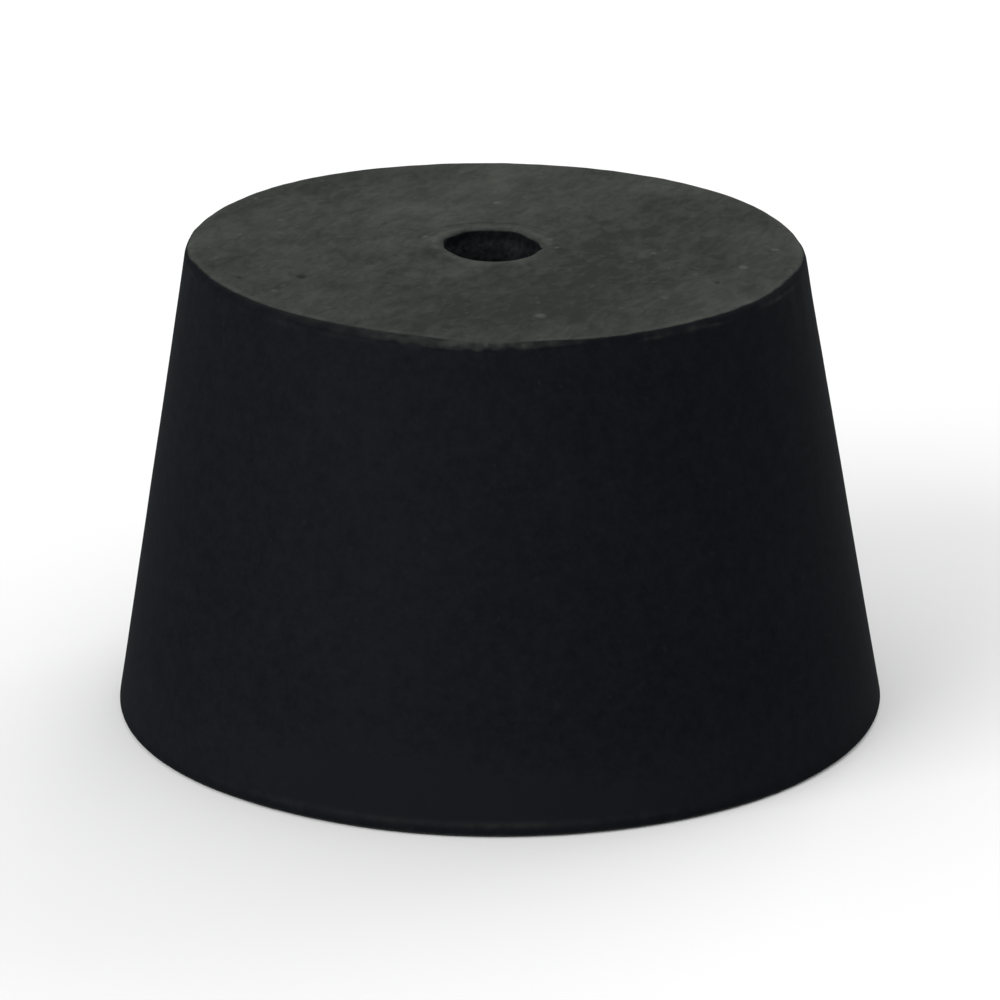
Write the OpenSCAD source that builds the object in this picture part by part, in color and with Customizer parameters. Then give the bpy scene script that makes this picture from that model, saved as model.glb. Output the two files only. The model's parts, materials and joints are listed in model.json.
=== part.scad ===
// One-hole rubber stopper, moulded in one piece.
// It stands on its large end. The origin is the centre of that face, and +Z points up to the small end.

/* [Taper] */
// Diameter of the large end, measured at its sharp corner
large_end_d = 41; // [32:0.5:90]
// Diameter of the small end, measured at its sharp corner
small_end_d = 32.5; // [20:0.5:60]
// Height from the large end face to the small end face
height = 25; // [12:0.5:60]

/* [Edges] */
// Radius of the rounded foot round the large end
foot_r = 0.3; // [0.1:0.05:2]
// Radius of the rounded rim round the small end
rim_r = 0.35; // [0.1:0.05:2]

/* [Bore] */
// Diameter of the bore that a glass tube is pushed through
bore_d = 5; // [3:0.1:12]
// Radius of the rounded mouth at each end of the bore
mouth_r = 0.2; // [0.05:0.05:0.5]

/* [Lip] */
// Width of the low lip that the core pin leaves round the upper mouth
lip_w = 0.9; // [0.6:0.05:2]
// Height of the lip above the small end face
lip_h = 0.1; // [0.02:0.02:0.4]

/* [Hidden] */
$fn = 128;

large_r = large_end_d / 2;
small_r = small_end_d / 2;
bore_r = bore_d / 2;
lip_top = height + lip_h;

// Slope of the flank from the vertical, and the direction square to it in the section
taper = atan2(large_r - small_r, height);
flank_out = [cos(taper), sin(taper)];

// How far an edge's arc stands past the straight flank, so that the two cross instead of just touching
crossing = 0.0005;

// Radius of the flank at a height above the large end face
function flank_r(z) = large_r + (small_r - large_r) * z / height;

// Centre of the arc of radius r that rounds the flank into an end face, for a centre at height z
function edge_centre(z, r) = [flank_r(z) - (r - crossing) / cos(taper), z];

foot_c = edge_centre(foot_r, foot_r);
rim_c = edge_centre(height - rim_r, rim_r);
mouth_c_r = bore_r + mouth_r;
lower_mouth_c = [mouth_c_r, mouth_r];
upper_mouth_c = [mouth_c_r, lip_top - mouth_r];

// The half of a disc that faces the flank, which rounds an edge
module edge_round(centre, r) {
    intersection() {
        translate(centre) circle(r);
        translate(centre - [0, 2 * r]) square([2 * r, 4 * r]);
    }
}

// The quarter of a disc that faces the bore wall and an end face: side is 1 for the upper face, -1 for the lower
module mouth_round(centre, side) {
    intersection() {
        translate(centre) circle(mouth_r);
        translate(centre + [-mouth_r, side * mouth_r]) square(2 * mouth_r, center = true);
    }
}

// Half of the stopper's section, from the bore wall on the left to the flank on the right
module section() {
    polygon([
        [bore_r, lower_mouth_c.y],
        lower_mouth_c,
        [mouth_c_r, 0],
        [foot_c.x, 0],
        foot_c,
        foot_c + (foot_r - crossing) * flank_out,
        rim_c + (rim_r - crossing) * flank_out,
        rim_c,
        [rim_c.x, height],
        [bore_r + lip_w, height],
        [mouth_c_r, lip_top],
        upper_mouth_c,
        [bore_r, upper_mouth_c.y]
    ]);
    edge_round(foot_c, foot_r);
    edge_round(rim_c, rim_r);
    mouth_round(lower_mouth_c, -1);
    mouth_round(upper_mouth_c, 1);
}

// The whole stopper, black rubber, turned from its section
module stopper() {
    color([0.09, 0.095, 0.1]) rotate_extrude() section();
}

stopper();
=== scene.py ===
# %% [markdown]
# # A one-hole rubber stopper
#
# A laboratory stopper is one lump of black rubber. It is pressed in a tapered mould with a steel pin
# through the middle, which leaves the bore, and its two ends are ground flat. So there is one piece to
# model and three surfaces to tell apart: the smooth moulded flank, the grey ground ends, and the bore.
#
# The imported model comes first. It fixes every size and place, and the looks are built around it.

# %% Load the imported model
import json
import math
import random

import bmesh
import bpy
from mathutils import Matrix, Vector, noise

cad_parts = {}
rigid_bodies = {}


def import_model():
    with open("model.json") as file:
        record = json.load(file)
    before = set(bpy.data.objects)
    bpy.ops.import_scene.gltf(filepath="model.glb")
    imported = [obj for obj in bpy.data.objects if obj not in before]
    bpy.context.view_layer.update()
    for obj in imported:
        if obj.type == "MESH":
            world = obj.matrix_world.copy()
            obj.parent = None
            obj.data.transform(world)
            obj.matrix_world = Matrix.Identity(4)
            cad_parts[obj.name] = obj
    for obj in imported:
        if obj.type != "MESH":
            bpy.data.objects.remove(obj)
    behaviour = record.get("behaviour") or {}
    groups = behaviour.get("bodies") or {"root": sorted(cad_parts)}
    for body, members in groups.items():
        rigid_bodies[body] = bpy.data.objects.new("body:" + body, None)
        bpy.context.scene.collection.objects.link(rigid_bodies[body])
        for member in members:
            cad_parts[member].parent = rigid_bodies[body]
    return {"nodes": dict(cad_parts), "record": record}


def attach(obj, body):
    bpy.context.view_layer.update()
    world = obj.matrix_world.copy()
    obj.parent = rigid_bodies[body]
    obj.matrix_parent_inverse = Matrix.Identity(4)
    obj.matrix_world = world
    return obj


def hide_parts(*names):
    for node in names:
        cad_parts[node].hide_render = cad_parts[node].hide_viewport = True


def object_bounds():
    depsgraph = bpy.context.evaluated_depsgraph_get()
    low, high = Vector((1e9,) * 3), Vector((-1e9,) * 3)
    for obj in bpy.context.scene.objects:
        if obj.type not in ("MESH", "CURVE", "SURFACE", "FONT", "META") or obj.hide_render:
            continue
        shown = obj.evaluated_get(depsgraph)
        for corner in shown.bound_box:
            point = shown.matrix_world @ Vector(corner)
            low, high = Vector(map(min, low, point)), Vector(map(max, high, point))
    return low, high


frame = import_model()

cad_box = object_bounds()
scene = bpy.context.scene
MM = 0.001
print("CAD box in mm:", [[round(c / MM, 2) for c in corner] for corner in cad_box])

# %% [markdown]
# ## Sizes from the frame
#
# Blender's unit here is the metre, and a stopper is easier to think of in millimetres, so the sizes below
# are read in metres, turned into millimetres, and turned back when a mesh is made.
#
# The record's mount states the bore's radius and length. Each end of the bore has a rounded mouth, which is
# what is left of the whole height. The cone is measured on the CAD mesh: two rings of its vertices bound the
# straight flank, and a line through them gives the radius at any height.

# %% Measure the cone and the bore
bore_mount = next(m for m in frame["record"]["mounts"] if m["name"] == "tube_bore")
BORE_R = bore_mount["dims"]["r_mm"]
LIP_TOP = cad_box[1].z / MM
LIP_HEIGHT = 0.1
HEIGHT = LIP_TOP - LIP_HEIGHT
MOUTH_R = (LIP_TOP - bore_mount["dims"]["length_mm"]) / 2
# Rings nearer than this to an end face are left out, because the edges there are rounded
EDGE_SKIP = 0.2


def widest_ring(low, high):
    """(radius, height) in mm of the widest ring of CAD vertices between two heights."""
    rings = ((math.hypot(v.co.x, v.co.y) / MM, v.co.z / MM) for v in frame["nodes"]["stopper"].data.vertices)
    return max(ring for ring in rings if low < ring[1] < high)


lower_r, lower_z = widest_ring(EDGE_SKIP, HEIGHT / 5)
upper_r, upper_z = widest_ring(HEIGHT - 5 * EDGE_SKIP, HEIGHT - EDGE_SKIP)
TAPER = (lower_r - upper_r) / (upper_z - lower_z)


def flank_radius(z):
    """Radius in mm of the straight flank at a height in mm."""
    return upper_r + TAPER * (upper_z - z)


BASE_R, TOP_R = flank_radius(0), flank_radius(HEIGHT)
print(f"large end {2 * BASE_R:.2f} mm, small end {2 * TOP_R:.2f} mm, height {HEIGHT:.2f} mm")

# %% [markdown]
# ## The camera
#
# A long lens from a little above keeps the perspective of the cone weak, and it shows the bore's far wall.
# The camera is placed on a sphere round the point it looks at, and turned with `to_track_quat`, which aims
# the camera's -Z axis along a direction while keeping its Y axis up.

# %% Camera
CAMERA_ELEVATION = math.radians(19.43)
CAMERA_DISTANCE = 304 * MM
CAMERA_AIM = Vector((-0.03 * MM, 0, 10.95 * MM))
CAMERA_LENS = 205.1
NEAREST_SEEN = 10 * MM

camera = bpy.data.objects.new("camera", bpy.data.cameras.new("camera"))
scene.collection.objects.link(camera)
away = Vector((0, -math.cos(CAMERA_ELEVATION), math.sin(CAMERA_ELEVATION)))
camera.location = CAMERA_AIM + away * CAMERA_DISTANCE
camera.rotation_euler = (-away).to_track_quat("-Z", "Y").to_euler()
camera.data.lens = CAMERA_LENS
camera.data.clip_start = NEAREST_SEEN
scene.camera = camera
scene.view_settings.view_transform = "Standard"
print("camera stands", [round(c / MM) for c in camera.location], "mm from the origin")

# %% [markdown]
# ## The floor and the lights
#
# Matt black rubber shows its shape only through soft, broad light, so the floor is pale and wide and the
# world is a bright even white. A wide panel at the front left gives the flank its slow change from charcoal
# to near black, and a weaker one behind on the right picks out its far edge and lights its back.
#
# The floor lies a hair below the large end, because two faces in one plane would flicker through each other.

# %% Floor
def node_material(name):
    """A material with nodes, its node tree and its Principled shader."""
    made = bpy.data.materials.new(name)
    made.use_nodes = True
    return made, made.node_tree, made.node_tree.nodes["Principled BSDF"]


# In metres, and far wider than any view, so that the floor's edge doesn't show
FLOOR_RADIUS = 3.0
FLOOR_SEGMENTS = 96
FLOOR_GAP = 0.02 * MM
FLOOR_WHITE = 0.95

floor_mesh = bmesh.new()
bmesh.ops.create_circle(floor_mesh, cap_ends=True, radius=FLOOR_RADIUS, segments=FLOOR_SEGMENTS)
bmesh.ops.translate(floor_mesh, vec=(0, 0, -FLOOR_GAP), verts=floor_mesh.verts[:])
floor = bpy.data.objects.new("floor", bpy.data.meshes.new("floor"))
floor_mesh.to_mesh(floor.data)
floor_mesh.free()
scene.collection.objects.link(floor)

floor_paint, _, floor_shader = node_material("pale_floor")
floor_shader.inputs["Base Color"].default_value = (FLOOR_WHITE, FLOOR_WHITE, FLOOR_WHITE, 1)
floor_shader.inputs["Roughness"].default_value = 0.8
floor_shader.inputs["Specular IOR Level"].default_value = 0.1
floor.data.materials.append(floor_paint)
print("floor:", round(FLOOR_RADIUS * 2, 1), "m across")

# %% World and soft panels
WORLD_STRENGTH = 0.76
PANEL_SIZE = 0.8

world = bpy.data.worlds.new("studio")
world.use_nodes = True
world.node_tree.nodes["Background"].inputs["Color"].default_value = (1, 1, 1, 1)
world.node_tree.nodes["Background"].inputs["Strength"].default_value = WORLD_STRENGTH
scene.world = world


def soft_panel(name, place, watts):
    """A square area light at a place in metres, facing the stopper."""
    panel = bpy.data.objects.new(name, bpy.data.lights.new(name, "AREA"))
    panel.data.size = PANEL_SIZE
    panel.data.energy = watts
    panel.location = place
    panel.rotation_euler = (-Vector(place)).to_track_quat("-Z", "Y").to_euler()
    scene.collection.objects.link(panel)
    return panel


soft_panel("front_left_panel", (-0.72, -0.6, 0.45), 6.8)
soft_panel("rear_right_panel", (0.5, 0.8, 0.45), 3.9)

# %% [markdown]
# ## The section
#
# A body of revolution starts as half of its section. A few corner points are joined into a closed wire,
# each corner is rounded with a vertex bevel, and each straight stretch is cut into steps short enough to
# carry the detail that belongs there. A bevel's offset is a length along the edge, so a helper works it out
# from the radius and the corner's angle.
#
# Extra points sit beside the rim, just above the foot and round the bore's mouth, because the moulding's
# finest detail is there, and the stretches between them need only coarse rows.

# %% Corners of the section
# Widths in mm of the finely cut zones: on the flank below the rim, on the face inside the rim, on the flank
# above the foot, in the bore below its mouth, and on the face round the mouth
RIM_ZONE = 0.9
RIM_BAND = 1.2
FOOT_ZONE = 1.0
MOUTH_ZONE = 3.0
LIP_REACH = 1.7
# Radii in mm of the rounded edges
FOOT_ROUND = 0.3
RIM_ROUND = 0.35
LIP_ROUND = 0.15

# Each corner: radius, height, radius of its rounding, steps in the rounding, step of the stretch after it
corners = [
    (BORE_R, 0, MOUTH_R, 4, 1.4),
    (BASE_R, 0, FOOT_ROUND, 6, 0.08),
    (flank_radius(FOOT_ZONE), FOOT_ZONE, 0, 0, 1.55),
    (flank_radius(HEIGHT - RIM_ZONE), HEIGHT - RIM_ZONE, 0, 0, 0.06),
    (TOP_R, HEIGHT, RIM_ROUND, 8, 0.1),
    (TOP_R - RIM_BAND, HEIGHT, 0, 0, 0.23),
    (BORE_R + LIP_REACH, HEIGHT, 0, 0, 0.1),
    (BORE_R, HEIGHT, LIP_ROUND, 5, 0.2),
    (BORE_R, HEIGHT - MOUTH_ZONE, 0, 0, 1.6),
    (BORE_R, MOUTH_ZONE, 0, 0, 0.5),
]


def round_corner(wire, corner, radius, steps):
    """Rounds one corner of a wire to a radius."""
    ways = [edge.other_vert(corner).co - corner.co for edge in corner.link_edges]
    offset = radius / math.tan(ways[0].angle(ways[1]) / 2)
    bmesh.ops.bevel(
        wire, geom=[corner], offset=offset, affect="VERTICES", segments=steps, profile=0.5, material=-1
    )


def cut_stretch(wire, middle, step):
    """Cuts the wire's edge that lies at a middle point into pieces of about one step."""
    edge = min(wire.edges, key=lambda e: ((e.verts[0].co + e.verts[1].co) / 2 - middle).length)
    pieces = max(1, round(edge.calc_length() / step))
    if pieces > 1:
        bmesh.ops.subdivide_edges(wire, edges=[edge], cuts=pieces - 1)


body = bmesh.new()
wire_corners = [body.verts.new((r, 0, z)) for r, z, *_ in corners]
middles = []
for start, end in zip(wire_corners, wire_corners[1:] + wire_corners[:1]):
    body.edges.new((start, end))
    middles.append((start.co + end.co) / 2)
for corner, (_, _, radius, steps, _) in zip(wire_corners, corners):
    if radius:
        round_corner(body, corner, radius, steps)
for middle, (*_, step) in zip(middles, corners):
    cut_stretch(body, middle, step)
print("section:", len(body.verts), "points")

# %% [markdown]
# ## The turned body
#
# Spinning the wire through a full turn makes the whole skin. `use_merge` joins the last copy to the first,
# so the surface has no seam. The number of steps is a balance: fine enough for a ragged rim, and few enough
# to keep the piece light.

# %% Spin the section
TURN_STEPS = 530

bmesh.ops.spin(
    body,
    geom=body.verts[:] + body.edges[:],
    cent=(0, 0, 0),
    axis=(0, 0, 1),
    angle=2 * math.pi,
    steps=TURN_STEPS,
    use_merge=True,
    use_duplicate=False,
)
bmesh.ops.recalc_face_normals(body, faces=body.faces[:])
body.normal_update()
print("turned body:", len(body.faces), "faces, open edges:", sum(not e.is_manifold for e in body.edges))

# %% [markdown]
# ## What a point belongs to
#
# The direction that a point faces tells its finish before any detail is added: the ends face up or down,
# the flank faces outwards, and the bore faces the axis. These shares are stored on the mesh as attributes,
# and the material reads them, so the finish stays with the surface. At the bore's mouth the ground finish
# stops sharply, and over the outer edges it wears away little by little.

# %% Finish shares
def ease(value, low, high):
    """0 below low, 1 above high, and a smooth step between them."""
    t = min(max((value - low) / (high - low), 0), 1)
    return t * t * (3 - 2 * t)


def bump(value, centre, width):
    """A smooth hill of height 1 round a centre."""
    return math.exp(-(((value - centre) / width) ** 2))


def rough(point, size, seed=0):
    """Smooth noise from about -1 to 1 at a point in mm, with features of about the given size."""
    return noise.noise(point / size + Vector((17.3, -5.1, 9.7)) * (seed + 1))


ground_share = body.verts.layers.float.new("ground")
bore_share = body.verts.layers.float.new("bore")
mark_share = body.verts.layers.float.new("mark")
# The bloom share holds some bloom together with painted light: a painted sheen on the small end, painted
# highlights on the lip and the rim's edge, a painted shadow in the hair groove, and painted light on the
# flank near the foot and at the front left
bloom_and_painted_light_share = body.verts.layers.float.new("bloom_and_painted_light")
# The scuff share holds real scuffing on the torn band together with painted highlights on the foot line, the
# ridge and under the rim, and painted shade in the groove
scuff_and_painted_light_share = body.verts.layers.float.new("scuff_and_painted_light")

for v in body.verts:
    facing = abs(v.normal.z)
    if math.hypot(v.co.x, v.co.y) < BORE_R + MOUTH_R:
        v[ground_share] = ease(facing, 0.35, 0.8)
        v[bore_share] = 1 - v[ground_share]
    else:
        v[ground_share] = min(max((facing - 0.2) / 0.8, 0), 1)
print("points of the ends:", sum(v[ground_share] > 0.5 for v in body.verts))

# %% [markdown]
# ## Relief of the ground ends
#
# Grinding leaves a face that is flat to the touch but not to the light: it rolls gently over several
# millimetres, and it is pitted where grains of filler were torn out. The larger pits and the crumbs of
# rubber that stayed on are placed one by one, and ninety small ones are scattered from a fixed seed, so that
# each run gives the same face.

# %% Pits and crumbs
# Each mark: x, y, radius and height in mm, where a negative height is a pit. The wheel draws them out in y.
marks = [
    (-10.0, -5.4, 0.24, -0.12),
    (-13.2, -5.7, 0.20, -0.09),
    (-14.2, -4.5, 0.15, -0.06),
    (-6.7, -2.5, 0.18, -0.06),
    (-8.2, -10.8, 0.18, -0.06),
    (-4.3, -5.5, 0.14, -0.05),
    (11.5, -5.6, 0.16, -0.10),
    (6.2, -9.8, 0.20, -0.05),
    (2.3, -11.8, 0.36, 0.06),
    (2.2, -9.6, 0.22, 0.04),
    (-11.3, -8.1, 0.24, 0.05),
    (12.9, -3.1, 0.26, 0.08),
    (14.7, 0.1, 0.24, 0.07),
    (0.1, 8.3, 0.20, 0.07),
    (8.3, -0.8, 0.24, 0.05),
    (5.7, -1.6, 0.16, 0.05),
    (8.6, -8.6, 0.22, 0.04),
    (6.4, -7.7, 0.18, 0.04),
    (-3.4, 1.2, 0.22, 0.06),
    (-3.0, 0.3, 0.16, 0.05),
    (3.1, 0.8, 0.14, 0.06),
    (3.3, -0.6, 0.16, 0.06),
]
MARK_STRETCH = 0.75
SMALL_MARKS = 90
# A mark this high counts as a whole crumb, and one this deep as a whole pit
FULL_MARK = 0.06

scatter = random.Random(8)
for _ in range(SMALL_MARKS):
    reach = math.sqrt(scatter.uniform(0.08, 0.93)) * TOP_R
    turn = scatter.uniform(0, 2 * math.pi)
    height = scatter.choice((-0.05, -0.035, 0.018, 0.026))
    marks.append((reach * math.cos(turn), reach * math.sin(turn), scatter.uniform(0.09, 0.18), height))


def mark_at(x, y):
    """Height in mm of the pits and crumbs at a place on the small end."""
    return sum(
        height * bump(math.hypot(x - mx, (y - my) * MARK_STRETCH), 0, radius)
        for mx, my, radius, height in marks
        if abs(x - mx) < 3 * radius and abs(y - my) < 3 * radius / MARK_STRETCH
    )


def end_relief(p):
    """Relief of a ground end in mm: slow rolling and fine unevenness."""
    return 0.035 * rough(p, 6) + 0.014 * rough(p, 1.4, 1) + 0.010 * rough(p, 0.6, 2)


print("pits and crumbs:", len(marks))

# %% [markdown]
# ### Painted sheen and bloom
#
# Soft spots, each a hill of paler or darker tone, paint the small end paler behind the bore and at its two
# sides, and darker in front and on the right. The fall from pale behind to dark in front is a painted sheen
# of the light from behind, and some of the patchiness is bloom, the pale powder that old rubber sweats out.

# %% Painted sheen and bloom of the small end
# Each spot: x, y and radius in mm, and how much paler or darker it is
sheen_and_bloom_spots = [
    (-0.8, 10.6, 2.0, 0.5),
    (1.0, 14.2, 3.0, 0.5),
    (-5.0, 4.5, 4.0, 0.45),
    (-14.6, 1.0, 2.6, 0.2),
    (7.5, 12.0, 3.0, 0.2),
    (14.8, 0.5, 2.4, 0.5),
    (12.0, -8.5, 3.0, 0.2),
    (-9.5, 11.0, 2.4, -0.35),
    (-4.0, -8.0, 4.0, -0.15),
    (5.4, -3.7, 3.6, -0.5),
    (3.3, -9.0, 4.5, -0.5),
    (-3.0, -13.5, 4.0, -0.4),
    (7.8, 2.0, 2.8, -0.3),
    (9.4, 6.4, 3.6, -0.25),
    (12.6, -0.3, 2.6, -0.6),
    (-3.2, -1.9, 0.9, -0.7),
]


def sheen_and_bloom_at(p):
    """How much paler, or darker where negative, the small end is painted at a point: painted sheen and bloom.
    """
    return sum(strength * bump(math.hypot(p.x - x, p.y - y), 0, radius) for x, y, radius, strength in sheen_and_bloom_spots)


print("bloom spots:", len(sheen_and_bloom_spots))

# %% [markdown]
# ## Relief of the flank and the foot
#
# The flank takes the polish of the mould and only breathes a little. Just above the foot, the joint between
# the mould's halves leaves a soft raised line, stronger in some places than in others; its pale colour is a
# painted highlight. The flank is also painted paler near the foot and at the front left, where the lights
# fall on it: painted light.
#
# Each such mark is a small function of the angle round the axis and of the height. The angle is 0 on the
# right, -90 in front and 90 behind.

# %% Flank and foot
FOOT_LINE_Z = 0.68
FOOT_LINE_WIDTH = 0.25


def angle_gap(turn, degrees):
    """Distance in degrees between an angle in radians and one in degrees, the short way round."""
    return abs((math.degrees(turn) - degrees + 180) % 360 - 180)


def around(turn, radius):
    """The point at an angle on a circle, for outward moves and for noise that closes on itself."""
    return Vector((math.cos(turn), math.sin(turn), 0)) * radius


def flank_relief(p):
    """Relief of the moulded flank in mm."""
    return 0.03 * rough(p, 9, 3) + 0.008 * rough(p, 2.0, 4)


def foot_line(z, turn):
    """Strength from 0 to 1 of the soft parting line just above the foot."""
    broken = 0.1 + 0.2 * rough(around(turn, BASE_R), 7, 5) + 0.25 * rough(around(turn, BASE_R), 1.2, 15)
    left = 0.6 * bump(angle_gap(turn, -114), 0, 24)
    middle = 0.5 * bump(angle_gap(turn, -88), 0, 9)
    right = 0.2 * bump(angle_gap(turn, -70), 0, 14)
    return max(broken + left + middle + right, 0) * bump(z, FOOT_LINE_Z, FOOT_LINE_WIDTH)


def flank_painted_light(z, turn):
    """Strength of the paleness painted on the flank near the foot and at the front left, where the lights
    fall: painted light.
    """
    front = 0.3 + 0.7 * bump(angle_gap(turn, -98), 0, 45)
    low = front * ease(z, 0.3, 1.0) * (1 - ease(z, 1.0, 5.5))
    return low + 0.45 * bump(angle_gap(turn, -110), 0, 20) * ease(z, 0.5, 3.0)


print("foot line runs", FOOT_LINE_Z, "mm above the floor")

# %% [markdown]
# ## The rim
#
# The rim is where the grinding wheel leaves the rubber. In front, the moulded skin wraps a little over the
# edge of the face, and the face is painted paler where it meets the skin, a painted highlight along the edge.
# The distances here are measured from the sharp corner that the rim had before it was rounded: inwards over
# the face, or down the flank.

# %% Edge of the face
def skin_margin(turn):
    """How far the moulded skin wraps over the edge of the small end in front, in mm."""
    left = 0.3 * bump(angle_gap(turn, -128), 0, 33)
    torn = 0.2 * bump(angle_gap(turn, -71), 0, 8) + 0.5 * bump(angle_gap(turn, -91.5), 0, 8)
    return (0.33 + left - torn) * ease(-math.sin(turn), 0, 0.35)


def face_share(inset, turn):
    """Share of the ground finish at a distance in from the rim's corner."""
    margin = skin_margin(turn) + 0.06 * rough(around(turn, TOP_R), 0.8, 23)
    return ease(inset, margin - 0.17, margin + 0.17)


def edge_highlight(inset, turn):
    """How much paler the ground face is painted where it meets the skin: a painted highlight along the edge.
    """
    patchy = max(0.5 + 0.9 * rough(around(turn, TOP_R), 2.2, 19), 0)
    return 0.6 * patchy * bump(inset, skin_margin(turn) + 0.25, 0.18)


print("skin wraps over the face by", round(skin_margin(math.radians(-128)), 2), "mm at the front left")

# %% [markdown]
# ### The torn band
#
# In the middle of the front, the wheel tore the edge. The torn rubber hangs down over the flank in a ragged
# band, and two tabs of it, the burrs, stand out from the rest.

# %% Torn band and burrs
# The torn part of the rim: its middle and its half-width in degrees
TORN_MIDDLE = -94
TORN_WIDTH = 19
# Each burr: its angle in degrees, how far out of the rim's corner it hangs in mm, and its strength
BURRS = ((-97.4, 0.02, 1.0), (-85.1, 0.16, 0.6))


def torn_share(turn):
    """1 where the rim is torn, in front, and 0 far from there."""
    return bump(angle_gap(turn, TORN_MIDDLE), 0, TORN_WIDTH)


def hang_depth(turn):
    """How far below the edge the torn rubber hangs over the flank, in mm."""
    ragged = rough(around(turn, TOP_R), 0.9, 6) + 0.7 * rough(around(turn, TOP_R), 0.4, 9)
    return 0.1 + 0.04 * ragged + torn_share(turn) * max(0.34 + 0.14 * ragged, 0)


def hang_share(below, turn):
    """1 on the torn rubber that hangs over the flank, and 0 below it."""
    hang = hang_depth(turn)
    return 1 - ease(below, hang - 0.13, hang + 0.08)


def burr_strength(inset, turn):
    """Strength from 0 to 1 of the burrs, torn tabs of the face that hang over the rim."""
    return sum(
        strength * bump(angle_gap(turn, degrees), 0, 1.0) * bump(inset, -hang, 0.27)
        for degrees, hang, strength in BURRS
    )


deepest = max(hang_depth(math.radians(degrees)) for degrees in range(360))
print("torn band hangs down by up to", round(deepest, 2), "mm")

# %% [markdown]
# ### Groove, ridge and painted light
#
# A shallow broken groove runs under the edge, with stretches of a low worn ridge below it, both mostly on
# the right. The groove is painted darker, as painted shade, and the ridge paler, as a painted highlight. The
# skin just under the rim is painted paler, most of all at the front left where the light falls: painted
# light.

# %% Groove, ridge and painted light
# How far the groove runs below the hanging rubber, how far the ridge runs below the edge, and how far the
# groove is cut in and the ridge stands out
GROOVE_GAP = 0.08
RIDGE_DEPTH = 0.23
RIDGE_RELIEF = 0.035
# Each stretch of ridge: its angle and half-length in degrees, and its strength
RIDGES = (
    (-60.5, 3, 1.0),
    (-52, 3, 0.45),
    (-45.5, 3.5, 0.6),
    (-36, 2.5, 0.15),
    (-29, 4, 0.65),
    (-20, 5, 0.6),
    (-166, 5, 0.3),
    (75, 20, 0.35),
)


def groove_strength(below, turn):
    """Strength from 0 to 1 of the groove under the edge."""
    broken = 0.35 + 0.8 * rough(around(turn, TOP_R), 1.6, 7) + 0.6 * rough(around(turn, TOP_R), 0.7, 16)
    sides = 0.35 + 0.65 * bump(angle_gap(turn, -25), 0, 35) + 0.5 * torn_share(turn)
    return min(max(broken * sides, 0), 1) * bump(below, hang_depth(turn) + GROOVE_GAP, 0.09)


def ridge_strength(below, turn):
    """Strength from 0 to 1 of the low worn ridge under the groove."""
    stretches = sum(strength * bump(angle_gap(turn, degrees), 0, half) for degrees, half, strength in RIDGES)
    broken = 1.0 + 0.5 * rough(around(turn, TOP_R), 0.5, 17)
    wander = 0.05 * rough(around(turn, TOP_R), 1.0, 25)
    return min(max(stretches * broken, 0), 1) * bump(below, RIDGE_DEPTH + wander, 0.17)


def rim_painted_light(below, turn):
    """Strength from 0 to 1 of the paleness painted under the rim, mostly at the front left: painted light."""
    front = 0.2 + 0.8 * bump(angle_gap(turn, -116), 0, 24)
    patchy = 0.8 + 0.7 * rough(around(turn, TOP_R) + Vector((0, 0, below)), 1.0, 24)
    return front * max(patchy, 0) * (1 - ease(below, 0.2, 0.85))


def rim_relief(below, turn):
    """Feathered edge, torn band, groove and ridge of the rim, in mm."""
    feather = (0.02 + 0.03 * torn_share(turn)) * hang_share(below, turn)
    return feather + RIDGE_RELIEF * (ridge_strength(below, turn) - groove_strength(below, turn))


print("stretches of ridge:", len(RIDGES))

# %% [markdown]
# ## The bore and its mouth
#
# The pin tears the rubber as it is pulled out, so the mouth is not a clean circle. It is a little long from
# front to back, has two flats with a corner between them at the back, and a small nick on the right. The
# outline is written as a radius that changes with the angle, and it fades into the round bore within a
# millimetre or so. Round the mouth, the pin's shoulder leaves a low uneven lip with a hair groove outside it.

# %% Bore and mouth
# How far down the bore the torn outline fades out, and how far beyond the mouth the hair groove runs
MOUTH_FADE = 1.3
HAIR_GROOVE_REACH = 1.25


def mouth_offset(turn):
    """How far the mouth's outline stands outside the bore's radius at an angle, in mm."""
    long_axis = 0.03 + 0.28 * math.sin(turn) ** 2
    back_corners = 0.14 * bump(angle_gap(turn, 66), 0, 13) + 0.16 * bump(angle_gap(turn, 115), 0, 16)
    right_flat = -0.16 * bump(angle_gap(turn, 38), 0, 15)
    left_flat = 0.14 * bump(angle_gap(turn, 153), 0, 14) - 0.18 * bump(angle_gap(turn, -142), 0, 30)
    nick = 0.15 * bump(angle_gap(turn, -8), 0, 6)
    return long_axis + back_corners + right_flat + left_flat + nick


def lip_relief(beyond, turn):
    """Height of the lip in mm, at a distance beyond the mouth's outline."""
    ring = around(turn, BORE_R)
    uneven = 0.65 + 0.5 * rough(ring, 1.1, 10) + 0.25 * rough(ring, 0.4, 11)
    hill = ease(beyond, 0.05, 0.35) * (1 - ease(beyond, 0.75, 1.15))
    return 0.09 * uneven * hill - 0.05 * hair_groove(beyond, turn)


def hair_groove(beyond, turn):
    """Strength of the hair groove that runs round outside the lip."""
    behind = 0.2 + 0.8 * bump(angle_gap(turn, 105), 0, 55)
    return behind * bump(beyond, HAIR_GROOVE_REACH, 0.14) * (0.5 + 0.7 * rough(around(turn, BORE_R), 1.6, 12))


def lip_highlight_and_shadow(beyond, turn):
    """How much paler the crest of the lip is painted, a painted highlight strongest behind, and how much
    darker its hair groove, a painted shadow.
    """
    # Painted highlight on the lip's crest, strongest behind, and painted shadow in the hair groove
    painted_light_level = 0.55 + 0.3 * math.sin(turn) + 0.9 * rough(around(turn, BORE_R), 0.8, 18)
    return 0.9 * max(painted_light_level, 0) * bump(beyond, 0.28, 0.2) - 0.8 * hair_groove(beyond, turn)


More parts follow.
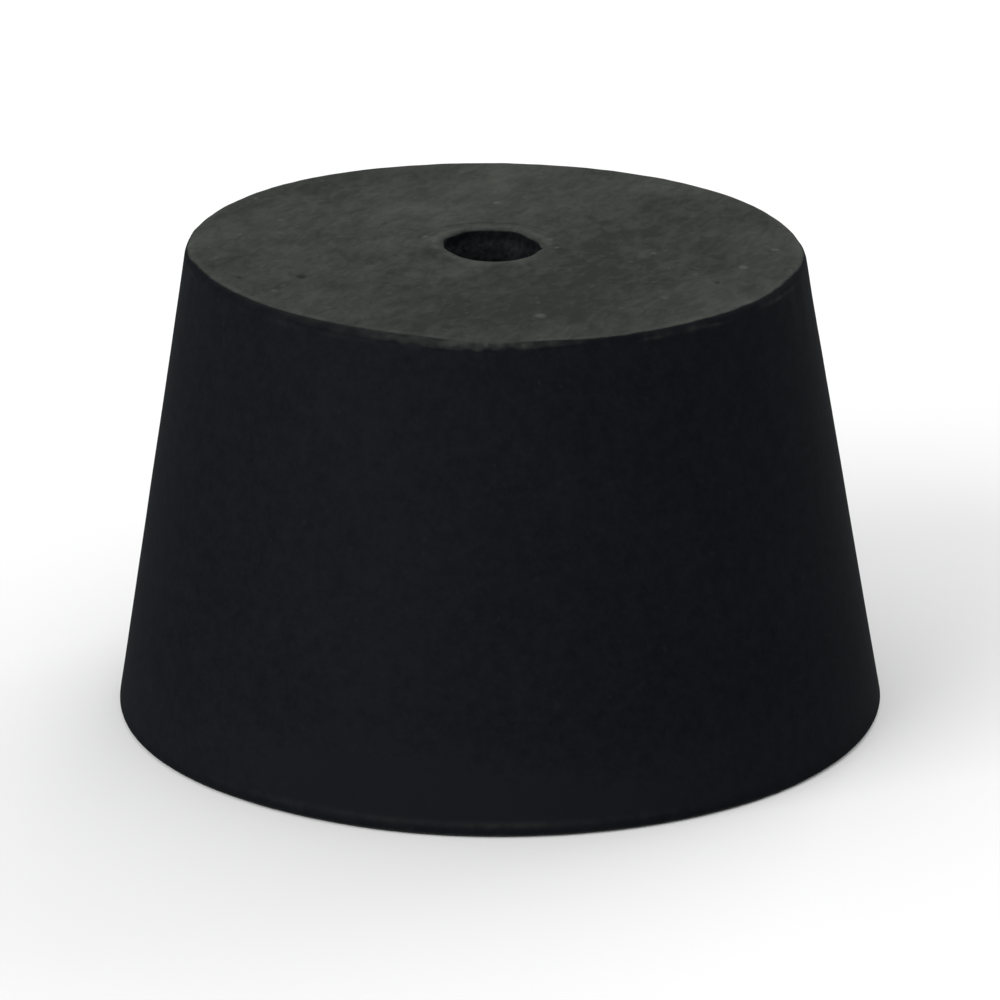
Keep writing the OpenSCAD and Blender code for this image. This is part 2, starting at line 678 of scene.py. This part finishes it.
def bore_relief(p):
    """Grain of the torn bore wall in mm."""
    return 0.03 * rough(p, 0.45, 13) + 0.04 * rough(p, 1.2, 14)


widest = max(mouth_offset(math.radians(degrees)) for degrees in range(360))
print("mouth stands outside the bore's radius by up to", round(widest, 2), "mm")

# %% [markdown]
# ## Moulding the details in
#
# Every point now moves once: along its own normal by the relief of its finish, and outwards by the bulges
# that put the flank out of round, the wander of the rim and the torn outline of the mouth. Four short
# functions work this out, and they also set the shares that the material reads.
#
# Then the whole body leans by a fraction of a millimetre and its small end slopes a little, as a mould that
# closed slightly out of line leaves it. The large end stays on the floor: no point goes below it.

# %% How a point is shaped
def out_of_round(turn, share):
    """How far the flank bulges at an angle and a share of the height, in mm."""
    foot_bulge = 0.16 * bump(angle_gap(turn, -153), 0, 20) * (1 - share)
    back_bulge = 0.2 * (bump(angle_gap(turn, 50), 0, 25) + bump(angle_gap(turn, 130), 0, 25)) * share
    return foot_bulge + back_bulge


def shape_flank(v, p, turn):
    """Lift in mm of a point outside the bore. Sets its painted highlight on the foot line and its painted
    light near the foot and at the front left.
    """
    line = foot_line(p.z, turn)
    # Painted highlight: the raised foot line is painted paler
    v[scuff_and_painted_light_share] = 0.55 * line
    # Painted light: the flank is painted paler near the foot and at the front left, where the lights fall
    v[bloom_and_painted_light_share] = flank_painted_light(p.z, turn)
    return (1 - v[ground_share]) * flank_relief(p) + 0.03 * line


def shape_rim(v, p, reach, turn):
    """Lift and outward move in mm of a point at the rim. Sets its scuff and painted light, and its share of
    ground finish.
    """
    below = HEIGHT - p.z
    inset = TOP_R - reach - below
    burr = min(burr_strength(inset, turn), 1)
    lift = rim_relief(below, turn) * (1 - v[ground_share]) + 0.07 * burr
    torn = torn_share(turn) * hang_share(below, turn)
    # Painted highlight on the ridge, and painted light under the rim at the front left
    highlight_and_scuff = 0.85 * ridge_strength(below, turn) + 0.42 * rim_painted_light(below, turn)
    # Painted shade: the groove lowers the share, which paints it darker
    painted_light_level = highlight_and_scuff - 0.8 * groove_strength(below, turn)
    smeared = torn * max(0.5 + 0.6 * rough(p, 0.45, 26), 0) * (1 - 0.7 * ease(below, 0, 0.4))
    v[scuff_and_painted_light_share] = painted_light_level * (1 - torn) + torn * (0.55 + 0.5 * rough(p, 0.5, 22))
    v[ground_share] = max(face_share(inset, turn), smeared, burr)
    return lift, 0.04 * rough(around(turn, TOP_R), 1.3, 21) * ease(reach, TOP_R - 0.8, TOP_R)


def shape_mouth(v, p, reach, turn):
    """Lift and outward move in mm of a point in the upper bore or round its mouth."""
    deep = ease(HEIGHT - p.z, 0.1, MOUTH_FADE)
    far = ease(reach, BORE_R + 0.4, BORE_R + LIP_REACH + 1)
    lift = v[ground_share] * lip_relief(reach - BORE_R - MOUTH_R, turn)
    return lift, mouth_offset(turn) * (1 - deep) * (1 - far)


def shape_face(v, p, reach, turn):
    """Lift in mm of a point of the small end. Sets its mark, and its bloom and painted light."""
    mark = mark_at(p.x, p.y)
    v[mark_share] = max(-1, min(1, mark / FULL_MARK))
    spread = sheen_and_bloom_at(p) + lip_highlight_and_shadow(reach - BORE_R - MOUTH_R, turn)
    v[bloom_and_painted_light_share] = spread + edge_highlight(TOP_R - reach - (HEIGHT - p.z), turn)
    return mark


print("flank bulges by up to", round(out_of_round(math.radians(50), 1), 2), "mm")

# %% Move each point
# How far below the small end a point still belongs to the rim, and to the face
RIM_DROP = 1.5
FACE_DROP = 0.3

moves = []
for v in body.verts:
    p = v.co.copy()
    reach, turn = math.hypot(p.x, p.y), math.atan2(p.y, p.x)
    outside = reach > BORE_R + MOUTH_R
    lift = v[ground_share] * end_relief(p) + v[bore_share] * bore_relief(p)
    outward = out_of_round(turn, p.z / HEIGHT) * ease(reach, BORE_R + 4, TOP_R - 1)
    if outside and v[ground_share] < 1:
        lift += shape_flank(v, p, turn)
    if reach > TOP_R - RIM_BAND and p.z > HEIGHT - RIM_DROP:
        up, out = shape_rim(v, p, reach, turn)
        lift, outward = lift + up, outward + out
    if p.z > HEIGHT - MOUTH_ZONE and reach < BORE_R + LIP_REACH + 1:
        up, out = shape_mouth(v, p, reach, turn)
        lift, outward = lift + up, outward + out
    if p.z > HEIGHT - FACE_DROP and outside:
        lift += shape_face(v, p, reach, turn)
    moves.append(v.normal * lift + around(turn, outward))
print("largest move in mm:", round(max(m.length for m in moves), 3))

# %% Lean the body
# How far the small end and, beyond that, the bore's mouth stand off the axis, and the small end's slope in x
TOP_SHIFT = Vector((-0.28, 0))
BORE_SHIFT = Vector((-0.2, 0.42))
TOP_SLOPE = -0.0122

for v, move in zip(body.verts, moves):
    p = v.co + move
    share = p.z / HEIGHT
    near_bore = 1 - ease(math.hypot(p.x, p.y), BORE_R + 1, BORE_R + 6)
    lean = (TOP_SHIFT + BORE_SHIFT * near_bore) * share
    v.co = Vector((p.x + lean.x, p.y + lean.y, max(p.z + TOP_SLOPE * p.x * share, 0))) * MM
body.normal_update()
print("the small end's centre stands", round(TOP_SHIFT.length, 2), "mm off the axis")

# %% [markdown]
# ## The mesh object
#
# The bmesh becomes a mesh on an object that stays at the origin. Smooth shading lets the fine steps read as
# one surface.

# %% Make the stopper object
stopper = bpy.data.objects.new("moulded_stopper", bpy.data.meshes.new("moulded_stopper"))
body.to_mesh(stopper.data)
triangles = sum(len(f.verts) - 2 for f in body.faces)
body.free()
scene.collection.objects.link(stopper)
for face in stopper.data.polygons:
    face.use_smooth = True
print("moulded_stopper:", triangles, "triangles")

# %% [markdown]
# ## The rubber
#
# One material holds the three finishes and mixes them by the shares stored on the mesh. Each finish gives a
# colour, a roughness and a relief too fine for the mesh. A few helpers keep the node trees readable: one
# adds a node and fills its sockets, and the others do a sum, read an attribute, make noise of a given size,
# and blend values and colours.

# %% Node helpers
def add_node(tree, kind, inputs=None, **settings):
    """A shader node with its settings and its sockets filled from values or other sockets."""
    made = tree.nodes.new("ShaderNode" + kind)
    for name, value in settings.items():
        setattr(made, name, value)
    for socket, value in (inputs or {}).items():
        if isinstance(value, bpy.types.NodeSocket):
            tree.links.new(value, made.inputs[socket])
        else:
            made.inputs[socket].default_value = value
    return made


def math_node(tree, operation, a, b):
    """The result of one sum on two values."""
    return add_node(tree, "Math", {0: a, 1: b}, operation=operation).outputs[0]


def grain(tree, place, size, detail=3.0, distortion=0.0):
    """Noise from 0 to 1 with features of a size in mm."""
    sockets = {"Vector": place, "Scale": 1 / (size * MM), "Detail": detail, "Distortion": distortion}
    return add_node(tree, "TexNoise", sockets).outputs["Fac"]


def between(tree, value, low, high):
    """0 below low, 1 above high, and a smooth step between them."""
    sockets = {"Value": value, "From Min": low, "From Max": high}
    return add_node(tree, "MapRange", sockets, interpolation_type="SMOOTHSTEP").outputs["Result"]


def blend_values(tree, share, a, b):
    """a where share is 0 and b where it is 1."""
    return add_node(tree, "Mix", {0: share, 2: a, 3: b}).outputs[0]


def blend_colours(tree, share, a, b):
    """Colour a where share is 0 and colour b where it is 1."""
    return add_node(tree, "Mix", {0: share, 6: a, 7: b}, data_type="RGBA").outputs[2]


def attribute(tree, name):
    """A number stored on the mesh's points."""
    return add_node(tree, "Attribute", attribute_name=name).outputs["Fac"]


def weighted(tree, base, parts):
    """base plus the sum of (value - 0.5) * weight over noise values."""
    total = base
    for value, weight in parts:
        swing = math_node(tree, "MULTIPLY", math_node(tree, "SUBTRACT", value, 0.5), weight)
        total = math_node(tree, "ADD", total, swing)
    return total


# %% [markdown]
# ### Moulded skin
#
# The flank is close to black with a faint blue cast. It is clouded at several sizes at once, with a dusting
# of pale specks. The scuff share paints the foot line, the rim's ridge and the skin under the rim paler, as
# painted highlights, and the rim's groove darker, as painted shade; on the torn band it is real scuffing. The
# bloom share paints the flank paler near the foot and at the front left: painted light.

# %% Moulded skin
def moulded_skin(tree, place, scuff_and_painted_light, bloom_and_painted_light):
    """Colour, roughness and fine relief in metres of the flank."""
    cloud = grain(tree, place, 4.0, 3.0)
    mottle = grain(tree, place, 0.7, 3.0)
    fine = grain(tree, place, 0.25, 2.0)
    tone = weighted(tree, 0.5, [(cloud, 0.5), (mottle, 1.1), (fine, 0.9)])
    # Painted light: the flank is painted paler near the foot and at the front left, where the lights fall
    tone = math_node(tree, "ADD", tone, math_node(tree, "MULTIPLY", bloom_and_painted_light, 0.7))
    colour = blend_colours(tree, tone, (0.0036, 0.0043, 0.0056, 1), (0.0071, 0.0081, 0.0101, 1))
    speck = between(tree, grain(tree, place, 0.45, 1.0), 0.70, 0.80)
    colour = blend_colours(tree, math_node(tree, "MULTIPLY", speck, 0.5), colour, (0.010, 0.011, 0.012, 1))
    patchy = blend_values(tree, between(tree, mottle, 0.3, 0.6), 0.6, 1.0)
    # Painted highlights where the share is positive: the foot line, the ridge and under the rim; on the torn
    # band it is real scuffing
    highlight_and_scuff = math_node(tree, "MULTIPLY", between(tree, scuff_and_painted_light, 0.05, 1.0), patchy)
    colour = blend_colours(tree, highlight_and_scuff, colour, (0.023, 0.024, 0.0235, 1))
    # Painted shade where the share is negative: the rim's groove is painted darker
    groove_painted_shade = between(tree, math_node(tree, "MULTIPLY", scuff_and_painted_light, -1), 0.1, 1.0)
    colour = blend_colours(tree, groove_painted_shade, colour, (0.0020, 0.0023, 0.0028, 1))
    roughness = blend_values(tree, cloud, 0.84, 0.96)
    relief = math_node(tree, "MULTIPLY", fine, 0.012 * MM)
    return colour, roughness, relief


# %% [markdown]
# ### Ground end
#
# Grinding exposes the filler, so the ends are a dull mid grey, mottled at every size from a quarter of a
# millimetre to several. The wheel ran over the face nearly from front to back, which draws the mottling out
# into short strokes, and it left faint arcs round the bore, strongest at its two sides. The strokes are noise
# read through a turned and stretched mapping, and the arcs are noise read on the distance from the axis and
# the direction. The same noises raise the fine relief, so the face is painted paler on its crests and darker
# in its hollows: painted light and shade of the relief over the filler's own mottling.

# %% Ground end
# The arcs' noise is read on a ring of this radius, so a larger one makes shorter arcs
ARC_RING = 3.0
# The arcs fade out towards this distance from the axis
ARC_REACH = 15.0
STROKE_ANGLE = math.radians(-20)
STROKE_STRETCH = 2.3


def wheel_arcs(tree, place):
    """Noise from 0 to 1 drawn out along circles round the axis."""
    parts = add_node(tree, "SeparateXYZ", {0: place}).outputs
    flat = add_node(tree, "CombineXYZ", {"X": parts["X"], "Y": parts["Y"]}).outputs[0]
    reach = add_node(tree, "VectorMath", {0: flat}, operation="LENGTH").outputs["Value"]
    way = add_node(tree, "VectorMath", {0: flat}, operation="NORMALIZE").outputs[0]
    ring = add_node(tree, "VectorMath", {0: way, "Scale": ARC_RING * MM}, operation="SCALE").outputs[0]
    lift = add_node(tree, "CombineXYZ", {"Z": reach}).outputs[0]
    at = add_node(tree, "VectorMath", {0: ring, 1: lift}, operation="ADD").outputs[0]
    near = between(tree, reach, ARC_REACH * MM, 0.4 * ARC_REACH * MM)
    sideways = math_node(tree, "ABSOLUTE", add_node(tree, "SeparateXYZ", {0: way}).outputs["X"], 0)
    strength = math_node(tree, "MULTIPLY", near, blend_values(tree, sideways, 0.35, 1.0))
    swing = math_node(tree, "SUBTRACT", grain(tree, at, 0.7, 2.0, 0.6), 0.5)
    return math_node(tree, "ADD", math_node(tree, "MULTIPLY", swing, strength), 0.5)


def ground_end(tree, place, mark, bloom_and_painted_light):
    """Colour, roughness and fine relief in metres of a ground end."""
    aslant = {"Vector": place, "Rotation": (0, 0, STROKE_ANGLE), "Scale": (1, STROKE_STRETCH, 1)}
    drawn = add_node(tree, "Mapping", aslant, vector_type="TEXTURE").outputs[0]
    cloud = grain(tree, place, 5.0, 2.0, 0.4)
    patch = grain(tree, drawn, 1.4, 2.0, 0.5)
    mottle = grain(tree, drawn, 0.55, 2.0, 0.9)
    fine = grain(tree, drawn, 0.26, 2.0)
    arcs = wheel_arcs(tree, place)
    # Painted light and shade: mottle, fine noise and arcs also set the relief, so crests are painted paler
    # and hollows darker
    tone = weighted(tree, 0.385, [(cloud, 0.6), (patch, 0.65), (mottle, 1.05), (fine, 0.2), (arcs, 0.8)])
    # Painted light: this share paints the sheen on the small end, the highlights on the lip and the edge, and
    # the shadow in the hair groove
    tone = math_node(tree, "ADD", tone, math_node(tree, "MULTIPLY", bloom_and_painted_light, 0.55))
    colour = blend_colours(tree, tone, (0.024, 0.0265, 0.0235, 1), (0.062, 0.066, 0.059, 1))
    speck = between(tree, grain(tree, place, 0.5, 1.5), 0.64, 0.80)
    colour = blend_colours(tree, math_node(tree, "MULTIPLY", speck, 0.3), colour, (0.09, 0.094, 0.086, 1))
    crumb = between(tree, mark, 0.25, 0.9)
    # Painted shade: the pits are painted darker
    pit_shade = between(tree, math_node(tree, "MULTIPLY", mark, -1), 0.3, 1.0)
    colour = blend_colours(tree, math_node(tree, "MULTIPLY", crumb, 0.6), colour, (0.085, 0.09, 0.083, 1))
    colour = blend_colours(tree, math_node(tree, "MULTIPLY", pit_shade, 0.8), colour, (0.016, 0.018, 0.017, 1))
    roughness = blend_values(tree, mottle, 0.7, 0.9)
    relief = weighted(tree, 0.0, [(mottle, 0.035 * MM), (fine, 0.015 * MM), (arcs, 0.03 * MM)])
    return colour, roughness, relief


# %% [markdown]
# ### Bore wall
#
# The bore is black too, but torn and grainy. Its raised grains are painted paler and the hollows between them
# darker, a painted highlight and painted shade of the grain. The band just below the mouth is darker.

# %% Bore wall
MOUTH_BAND = 0.9


def bore_wall(tree, place):
    """Colour, roughness and fine relief in metres of the bore."""
    grains = grain(tree, place, 0.35, 3.0)
    height = add_node(tree, "SeparateXYZ", {0: place}).outputs["Z"]
    band = between(tree, height, (HEIGHT - MOUTH_BAND) * MM, (HEIGHT - 0.3 * MOUTH_BAND) * MM)
    pale = blend_colours(tree, band, (0.018, 0.0185, 0.021, 1), (0.007, 0.0075, 0.009, 1))
    dark = blend_colours(tree, band, (0.0075, 0.008, 0.0095, 1), (0.0035, 0.004, 0.005, 1))
    # Painted highlight and shade: raised grains are painted paler, hollows darker
    colour = blend_colours(tree, between(tree, grains, 0.35, 0.68), dark, pale)
    relief = math_node(tree, "MULTIPLY", grains, 0.12 * MM)
    return colour, 0.75, relief


# %% [markdown]
# ### One material from three finishes
#
# The share of the ground end is stirred with a little noise before it mixes the finishes, so the grey of the
# ground end wears away over the rim unevenly and not in a clean gradient.

# %% Mix the finishes
rubber, tree, shader = node_material("black_rubber")
place = add_node(tree, "TexCoord").outputs["Object"]
bloom_and_painted_light = attribute(tree, "bloom_and_painted_light")
skin = moulded_skin(tree, place, attribute(tree, "scuff_and_painted_light"), bloom_and_painted_light)
end = ground_end(tree, place, attribute(tree, "mark"), bloom_and_painted_light)
wall = bore_wall(tree, place)

stirred = weighted(tree, attribute(tree, "ground"), [(grain(tree, place, 0.4, 2.0), 0.4)])
ground = between(tree, stirred, 0.08, 0.92)
bore = attribute(tree, "bore")

colour = blend_colours(tree, bore, blend_colours(tree, ground, skin[0], end[0]), wall[0])
roughness = blend_values(tree, bore, blend_values(tree, ground, skin[1], end[1]), wall[1])
relief = blend_values(tree, bore, blend_values(tree, ground, skin[2], end[2]), wall[2])
tree.links.new(colour, shader.inputs["Base Color"])
tree.links.new(roughness, shader.inputs["Roughness"])
bump_node = add_node(tree, "Bump", {"Height": relief, "Strength": 1.0, "Distance": 1.0})
tree.links.new(bump_node.outputs["Normal"], shader.inputs["Normal"])
shader.inputs["Specular IOR Level"].default_value = 0.02
stopper.data.materials.append(rubber)
print("black_rubber:", len(tree.nodes), "nodes")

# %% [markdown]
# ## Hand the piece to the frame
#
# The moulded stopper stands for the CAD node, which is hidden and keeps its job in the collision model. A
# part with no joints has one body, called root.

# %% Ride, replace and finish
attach(stopper, "root")
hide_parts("stopper")
